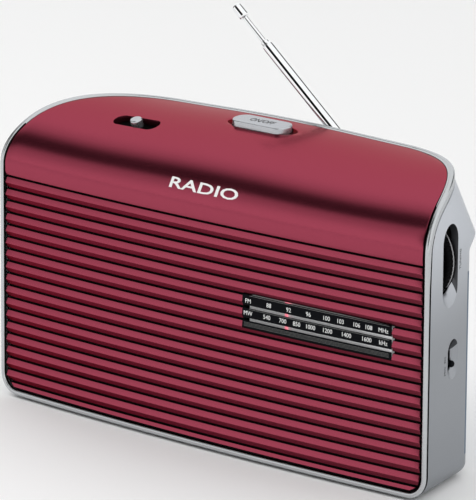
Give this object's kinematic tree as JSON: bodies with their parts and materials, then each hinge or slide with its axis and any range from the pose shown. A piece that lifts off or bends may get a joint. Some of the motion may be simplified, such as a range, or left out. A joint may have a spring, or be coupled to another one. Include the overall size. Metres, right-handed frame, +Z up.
{
  "type": "portable radio",
  "caption": "Slim portable FM/MW radio: ribbed bowed red front in a silver rim, silver tapered back, scale window, top controls and a telescopic aerial on a swivel.",
  "frame": {"origin": "centre of the bounding box's base, on the surface that the feet stand on", "axes": "+X to the right seen from the front, +Y from the front to the back, +Z up"},
  "size_m": [0.2496, 0.0658, 0.1838],
  "materials": {
    "silver_paint": "fine metallic silver lacquer, satin",
    "red_lacquer": "deep red metallic lacquer",
    "blue_grey_plastic": "fine-textured plastic",
    "black_plastic": "moulded, satin",
    "black_window": "clear-fronted black scale",
    "chrome": "polished",
    "zinc_steel": "zinc plated",
    "rubber": "matt",
    "circuit_board": "resin board",
    "ferrite": "dark ferrite",
    "copper_wire": "enamelled copper winding",
    "cone_paper": "pressed paper cone",
    "speaker_cloth": "thin acoustic cloth",
    "red_pointer": "bright red",
    "brass": "turned"
  },
  "bodies": {
    "cabinet": {"front_rim": "silver_paint", "rear_housing": "silver_paint", "front_panel": "red_lacquer", "back_cover": "blue_grey_plastic", "tuning_capacitor": "blue_grey_plastic", "battery_box": "black_plastic", "dial_plate": "black_plastic", "power_switch": "black_plastic", "mains_inlet": "black_plastic", "headphone_jack": "black_plastic", "dial_window": "black_window", "battery_spring": "zinc_steel", "battery_contact": "zinc_steel", "band_switch_body": "zinc_steel", "volume_pot": "zinc_steel", "power_spring": "zinc_steel", "speaker_frame": "zinc_steel", "mains_transformer": "zinc_steel", "aerial_bush": "zinc_steel", "speaker_clip_1": "zinc_steel", "speaker_clip_2": "zinc_steel", "speaker_clip_3": "zinc_steel", "speaker_clip_4": "zinc_steel", "case_screw_1": "zinc_steel", "case_screw_2": "zinc_steel", "case_screw_3": "zinc_steel", "case_screw_4": "zinc_steel", "foot_1": "rubber", "foot_2": "rubber", "foot_3": "rubber", "foot_4": "rubber", "main_board": "circuit_board", "ferrite_rod": "ferrite", "speaker_magnet": "ferrite", "ferrite_coil": "copper_wire", "speaker_cloth": "speaker_cloth", "dial_cord": "speaker_cloth", "tuning_pin": "brass"},
    "tuning_control": {"tuning_wheel": "black_plastic"},
    "capacitor_drum": {"tuning_drum": "black_plastic"},
    "scale_pointer": {"dial_pointer": "red_pointer"},
    "band_switch": {"band_switch_knob": "black_plastic"},
    "volume_slider": {"volume_knob": "silver_paint"},
    "power_key": {"power_button": "silver_paint"},
    "cone": {"speaker_cone": "cone_paper"},
    "battery_hatch": {"battery_door": "blue_grey_plastic"},
    "aerial_swivel": {"aerial_hub": "chrome", "aerial_pin": "zinc_steel"},
    "aerial_main": {"aerial_tube_1": "chrome"},
    "aerial_middle": {"aerial_tube_2": "chrome"},
    "aerial_inner": {"aerial_rod": "chrome", "aerial_tip": "chrome"}
  },
  "joints": [
    {"name": "tuning_turn", "type": "hinge", "parent": "cabinet", "child": "tuning_control", "pos_m": [0.098, -0.00282, 0.0982], "axis": [0, 1, 0], "range_deg": [-58, 239]},
    {"name": "drum_turn", "type": "hinge", "parent": "cabinet", "child": "capacitor_drum", "pos_m": [0.052, -0.00832, 0.0982], "axis": [0, 1, 0], "range_deg": [-40, 161]},
    {"name": "pointer_slide", "type": "slide", "parent": "cabinet", "child": "scale_pointer", "axis": [1, 0, 0], "range_m": [-0.0115, 0.0468]},
    {"name": "band_select", "type": "slide", "parent": "cabinet", "child": "band_switch", "axis": [0, 0, 1], "range_m": [0, 0.0044]},
    {"name": "volume_slide", "type": "slide", "parent": "cabinet", "child": "volume_slider", "axis": [1, 0, 0], "range_m": [-0.008, 0.008]},
    {"name": "power_press", "type": "slide", "parent": "cabinet", "child": "power_key", "axis": [0, 0, -1], "range_m": [0, 0.002], "stiffness_N_per_m": 500, "springref_m": -0.001, "deforming": ["power_spring"]},
    {"name": "cone_travel", "type": "slide", "parent": "cabinet", "child": "cone", "axis": [0, 1, 0], "range_m": [-0.0008, 0.0008], "stiffness_N_per_m": 1200},
    {"name": "battery_door_hinge", "type": "hinge", "parent": "cabinet", "child": "battery_hatch", "pos_m": [0.038, 0.02168, 0.0085], "axis": [-1, 0, 0], "range_deg": [0, 75]},
    {"name": "aerial_swing", "type": "hinge", "parent": "cabinet", "child": "aerial_swivel", "pos_m": [0.0647, 0.02998, 0.1012], "axis": [0, 1, 0], "range_deg": [-38.9, 61.1]},
    {"name": "aerial_tilt", "type": "hinge", "parent": "aerial_swivel", "child": "aerial_main", "pos_m": [0.0647, 0.02998, 0.1012], "axis": [-0.628, 0, -0.7782], "range_deg": [0, 80]},
    {"name": "aerial_extend_1", "type": "slide", "parent": "aerial_main", "child": "aerial_middle", "axis": [-0.7782, 0, 0.628], "range_m": [0, 0.08]},
    {"name": "aerial_extend_2", "type": "slide", "parent": "aerial_middle", "child": "aerial_inner", "axis": [-0.7782, 0, 0.628], "range_m": [-0.0145, 0.07]}
  ],
  "couplings": [
    {"joint": "drum_turn", "follows": "tuning_turn", "ratio": 0.67},
    {"joint": "pointer_slide", "follows": "tuning_turn", "m_per_rad": 0.01115}
  ]
}
